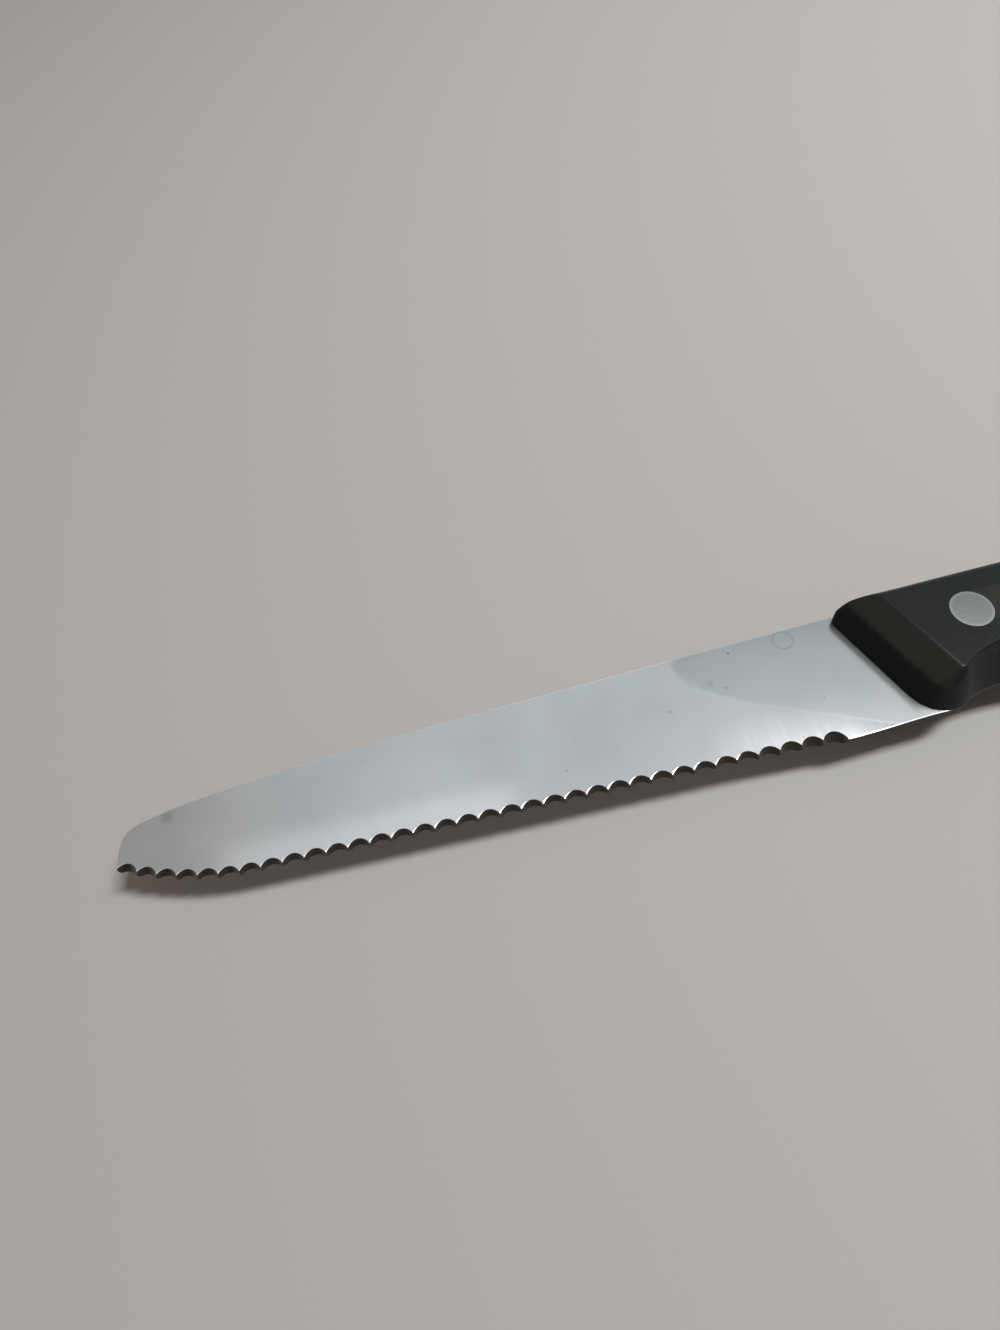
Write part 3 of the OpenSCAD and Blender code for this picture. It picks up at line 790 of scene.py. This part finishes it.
# %% Finish the blade
def smooth_but(obj, degrees):
    """Smooth shading, with sharp edges between materials and where faces meet at more than the angle."""
    obj.data.shade_smooth()
    obj.data.set_sharp_from_angle(angle=math.radians(degrees))
    bm = bmesh.new()
    bm.from_mesh(obj.data)
    for edge in bm.edges:
        if len({face.material_index for face in edge.link_faces}) > 1:
            edge.smooth = False
    bm.to_mesh(obj.data)
    bm.free()


def note(mesh, name, values):
    """Gives each point of a mesh a number, which a material reads by the same name."""
    attribute = mesh.attributes.new(name, "FLOAT", "POINT")
    attribute.data.foreach_set("value", np.asarray(values, np.float32))


def seat(obj, nodes):
    """Ties a finished piece to the knife's one body, and hides the CAD nodes it stands for."""
    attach(obj, "root")
    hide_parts(*nodes)


smooth_but(blade, 24)
here = np.array([v.co for v in blade.data.vertices]) / mm - origin
depth = half_thickness(here[:, :2]) - np.abs(here[:, 2])
note(blade.data, "ground", np.concatenate([grind_cover(part[:, :2]) for part in np.array_split(here, 20)]))
# The stamped edge lies deeper than the broken corner; what lies deeper than the face at all is tumbled
# The edge attribute also carries the painted shade on the stamped edge
note(blade.data, "edge", np.clip((depth - broken_edge) / 0.01, 0, 1))
note(blade.data, "tumbled", np.clip(depth / 0.002 - 1, 0, 1))
seat(blade, ["blade"])
print("blade materials:", [m.name for m in blade.data.materials])

# %% [markdown]
# ## The scales
# Each scale is moulded with a flat top, sides that lean in, a small round arris and a front in two
# slopes: a steep nose and a broad bevel. It is built like a stack of slices, each at one height, from the
# steel up to the flat. A slice follows the handle's outline, drawn in by what leans there, with the nose
# and two rounded corners in front. Above the nose the bevel cuts across those corners, which gives it
# its clear ends.

# %% Sizes of a scale
scale_low, scale_high = (np.array(corner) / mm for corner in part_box("left_scale"))
scale_t = float(scale_high[2] - scale_low[2])
spine_lean, belly_lean, groove_lean = 1.7, 3.3, 1.4
spine_arris, belly_arris = 0.9, 0.35
nose_h, nose_run, bevel_run = 4.2, 1.55, 3.75
# How far the rounding of the lower front corner reaches, at some heights
heel_heights = (0, nose_h, 5.2, 6.2, 7.2)
heel_reaches = (5.0, 2.8, 4.0, 4.5, 4.0)
# How far the nose's top corner and the bevel's top corner are rounded
nose_soft, bevel_soft = 0.9, 0.4


def rounded(before, corner, after, count):
    """Points on a curve that rounds a corner, from before to after, without after."""
    before, corner, after = (np.array(p, float) for p in (before, corner, after))
    return bezier(before, before + (corner - before) * 2 / 3, after + (corner - after) * 2 / 3, after, count)


def towards(a, b, distance):
    a, b = np.array(a, float), np.array(b, float)
    return a + (b - a) * distance / np.linalg.norm(b - a)


foot, nose_top = (0, 0), (nose_run, nose_h)
bevel_top, on_the_flat = (nose_run + bevel_run, scale_t), (3 * bevel_run, scale_t)
front_profile = [foot]
for before, at, after, soft in (
        (foot, nose_top, bevel_top, nose_soft), (nose_top, bevel_top, on_the_flat, bevel_soft)):
    start, end = towards(at, before, soft), towards(at, after, soft)
    front_profile += [*rounded(start, at, end, 12), end]
front_profile = np.vstack(front_profile)
arris_turn = np.sin(np.radians(np.arange(0, 91, 9)))
# The slices stand closer together where the nose turns into the bevel, and in the arris
heights = np.unique(np.round(np.r_[
    np.linspace(0, 3.2, 8), np.linspace(3.35, 4.85, 11), 5.3, 5.8,
    scale_t - spine_arris * (1 - arris_turn), scale_t - belly_arris * (1 - arris_turn),
], 3))
print(len(heights), "slices in", round(scale_t, 2), "mm")


# %% Cut one slice
def drawn_in(line, outward, height):
    """A side of the handle at a height above the steel, drawn in by its lean and its arris."""
    to_belly = (1 - outward[:, 1]) / 2
    off_groove = np.clip(np.abs(line[:, 0] - groove[0]) / (groove[0] - heel_end[0]), 0, 1)
    in_groove = (1 + np.cos(np.pi * off_groove)) / 2
    share = height / scale_t
    # The spine side stays upright for longer near the blade
    spine_curve = share ** (3 - np.clip((line[:, 0] - blade_l - 4) / 6, 0, 1))
    belly_curve = share ** 1.15
    lean = (spine_lean * (1 - to_belly) * spine_curve
            + (belly_lean + groove_lean * in_groove) * to_belly * belly_curve)
    arris = spine_arris + (belly_arris - spine_arris) * to_belly
    up_the_arris = np.clip(height - scale_t + arris, 0, arris)
    return line - outward * (lean + arris - np.sqrt(arris ** 2 - up_the_arris ** 2))[:, None]


def with_lead(line, sign):
    """A side from a little in front of its start to the butt, in even steps, and its outward directions."""
    lead = np.linspace(6, 0.5, 12)
    level = np.c_[line[0, 0] - lead, np.full(len(lead), line[0, 1])]
    even = walk(np.vstack([level, line]), np.arange(0, 140, 0.2))
    even = even[: 1 + np.argmax(even[:, 0] >= butt[0] - 1e-9)]
    step = np.gradient(even, axis=0)
    return even, sign * np.c_[-step[:, 1], step[:, 0]] / np.linalg.norm(step, axis=1)[:, None]


both_sides = with_lead(spine_side, 1), with_lead(belly_side, -1)
into_handle = np.array([math.cos(front_slant), math.sin(front_slant)])


def behind_front(line, run):
    """The part of a side behind a slanted front line, which stands run behind the shoulder."""
    behind = (line - shoulder) @ into_handle - run
    first = int(np.argmax(behind > 0))
    share = behind[first] / (behind[first] - behind[first - 1])
    return np.vstack([line[first] + share * (line[first - 1] - line[first]), line[first:]])


def beyond(line, distance):
    """What is left of a line after a distance along it."""
    return np.vstack([walk(line, [distance]), line[distances(line) > distance]])


def side_with_corner(side, other, reach_front, reach_side):
    """A side that starts on the nose, with the corner between them rounded; other is the side across."""
    rest = beyond(side, reach_side)
    return np.vstack([rounded(towards(side[0], other[0], reach_front), side[0], rest[0], 24), rest])


def slice_at(height, inset=0.0):
    """A closed ring of points: along the spine side from the butt, down the front, back along the belly."""
    nose = nose_run * height / nose_h + inset
    front = max(nose, np.interp(height, front_profile[:-1, 1], front_profile[:-1, 0]) + inset)
    upper, lower = (behind_front(drawn_in(side, out, height) - out * inset, nose)
                    for side, out in both_sides)
    top_reach = 1.0 + 1.6 * max(0, 1 - height / 2)
    heel_reach = np.interp(height, heel_heights, heel_reaches)
    upper, lower = (side_with_corner(upper, lower, top_reach, top_reach),
                    side_with_corner(lower, upper, heel_reach, 0.85 * heel_reach))
    if front > nose + 1e-6:
        upper, lower = behind_front(upper, front), behind_front(lower, front)
    start, end = towards(upper[0], lower[0], corner_soft), towards(lower[0], upper[0], corner_soft)
    above, below = (walk(side, np.r_[
        np.linspace(corner_soft, fine_l, 46)[:-1], np.linspace(fine_l, distances(side)[-1], 170),
    ]) for side in (upper, lower))
    return np.vstack([
        above[:0:-1], rounded(above[0], upper[0], start, 6), np.linspace(start, end, 30, endpoint=False),
        rounded(end, lower[0], below[0], 6), below,
    ])


# The last rounding of every corner of a slice, and how far from the front its points stand closer together
corner_soft, fine_l = 0.3, 9
ring = slice_at(0)
print("a slice has", len(ring), "points")

# %% Stack the slices into the two scales
flat_inset = 0.3
rings = [np.c_[slice_at(h), np.full(len(ring), h)] for h in heights]
rings.append(np.c_[slice_at(scale_t, flat_inset), np.full(len(ring), scale_t)])
stack = np.vstack(rings)
scale_faces = ring_faces(len(rings), len(ring))
scale_faces += [tuple(range(len(ring))), tuple(range(len(stack) - len(ring), len(stack)))]
blanks = {}
for side, sign in (("left", 1), ("right", -1)):
    moved = stack * (1, 1, sign) + origin + (0, 0, sign * steel_t / 2)
    blanks[side] = mesh_object(side + "_blank", moved, scale_faces)
    blanks[side].data.materials.append(acetal)
    print(side, "scale:", len(blanks[side].data.vertices), "points")

# %% [markdown]
# ## The rivets
# A cutler's rivet is a tube and a post with broad flat heads. Each head sits in a round recess and is
# sanded flush, which leaves it a very slight crown. On each side of the knife, one tree cuts a cylinder
# at the middle of each CAD rivet, and another sets a turned half there.

# %% Where the rivets stand
rivet_places = ("front", "middle", "rear")
rivet_spots, head_r = [], 0
for place in rivet_places:
    low, high = (np.array(corner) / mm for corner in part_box(place + "_rivet_socket"))
    rivet_spots.append((low + high) / 2)
    head_r = (high[0] - low[0]) / 2
head_t, tube_d, rivet_fit = 1.2, 4.2, 0.05
top_z, bottom_z = cad_box[1][2] / mm, cad_box[0][2] / mm


def spots_object(name, height):
    """A mesh of loose points, one at each rivet's middle, at a height in millimetres."""
    mesh = bpy.data.meshes.new(name)
    mesh.from_pydata([Vector((spot[0], spot[1], height)) * mm for spot in rivet_spots], [], [])
    return placed(name, mesh)


print("rivets at", [spot[:2].round(1).tolist() for spot in rivet_spots], "mm")

# %% Cut the recesses
recess = {"Radius": (head_r + rivet_fit) * mm, "Depth": 2 * head_t * mm}
for side, height in (("left", top_z), ("right", bottom_z)):
    spots = spots_object(side + "_recesses", height)
    tree, given, result = new_tree("cut_recesses_" + side, recess)
    marks = add(tree, "GeometryNodeObjectInfo", {"Object": spots})
    drill = add(tree, "GeometryNodeMeshCylinder", {
        "Vertices": 96, "Radius": given.outputs["Radius"], "Depth": given.outputs["Depth"]})
    drills = repeat(tree, marks.outputs["Geometry"], drill.outputs["Mesh"], acetal)
    cut = add(tree, "GeometryNodeMeshBoolean", {"Mesh 1": given.outputs["Geometry"], "Mesh 2": drills},
              operation="DIFFERENCE", solver="EXACT")
    tree.links.new(cut.outputs["Mesh"], result.inputs[0])
    scale = make_with(tree, blanks[side], recess, side + "_handle_scale")
    smooth_but(scale, 35)
    # Bevel light is what faces forwards above the nose, which gets the painted light; upright is what leans
    # less than about 45 degrees
    points = scale.data.vertices
    forward = np.array([v.normal.xy for v in points]) @ -into_handle
    above = np.abs(np.array([v.co.z for v in points]) / mm - origin[2]) - steel_t / 2 - nose_h
    note(scale.data, "bevel_light", np.clip(forward / 0.2 - 1.8, 0, 1) * np.clip(above / 0.3, 0, 1))
    note(scale.data, "upright", np.clip((0.7 - np.abs([v.normal.z for v in points])) / 0.2, 0, 1))
    seat(scale, [side + "_scale"])
    bpy.data.objects.remove(blanks[side])
    bpy.data.objects.remove(spots)

# %% Turn a rivet and set it three times
tube_gap, post_r, post_end = 0.3, 1.4, 13.2
tube_end = top_z - bottom_z - head_t - tube_gap
crown, rim_w = 0.02, 0.4
head_profile = [
    (0, 0), (head_r / 4, -crown / 16), (head_r / 2, -crown / 4), (head_r - 0.5, -0.72 * crown),
    (head_r - 0.35, -0.8 * crown), (head_r, -crown), (head_r, -head_t),
]
socket_profile = head_profile + [(tube_d / 2, -head_t), (tube_d / 2, -tube_end), (0, -tube_end)]
post_profile = head_profile + [(post_r, -head_t), (post_r, -post_end), (0, -post_end)]


def turned(name, profile, sign):
    """A solid of revolution about z from (radius, height) points; sign -1 turns it upside down."""
    bm = bmesh.new()
    line = [bm.verts.new(Vector((r, 0, sign * z)) * mm) for r, z in profile]
    edges = [bm.edges.new(pair) for pair in zip(line, line[1:])]
    bmesh.ops.spin(bm, geom=line + edges, cent=(0, 0, 0), axis=(0, 0, 1), angle=2 * math.pi, steps=96,
                   use_merge=True)
    bmesh.ops.remove_doubles(bm, verts=bm.verts, dist=1e-6)
    obj = from_bmesh(bm, name)
    # The outer band of each head gets the painted highlight along its rim
    note(obj.data, "rim", np.array([v.co.xy.length for v in obj.data.vertices]) / mm > head_r - rim_w)
    return obj


for half, profile, sign, height in (
        ("socket", socket_profile, 1, top_z), ("post", post_profile, -1, bottom_z)):
    master = turned(half + "_master", profile, sign)
    spots = spots_object(half + "_spots", height)
    tree, given, result = new_tree("set_rivets_" + half, {})
    part = add(tree, "GeometryNodeObjectInfo", {"Object": master})
    rivets = repeat(tree, given.outputs["Geometry"], part.outputs["Geometry"], aluminium)
    tree.links.new(rivets, result.inputs[0])
    made = make_with(tree, spots, {}, "rivet_" + half + "s")
    smooth_but(made, 30)
    seat(made, [place + "_rivet_" + half for place in rivet_places])
    bpy.data.objects.remove(spots)
    bpy.data.objects.remove(master)
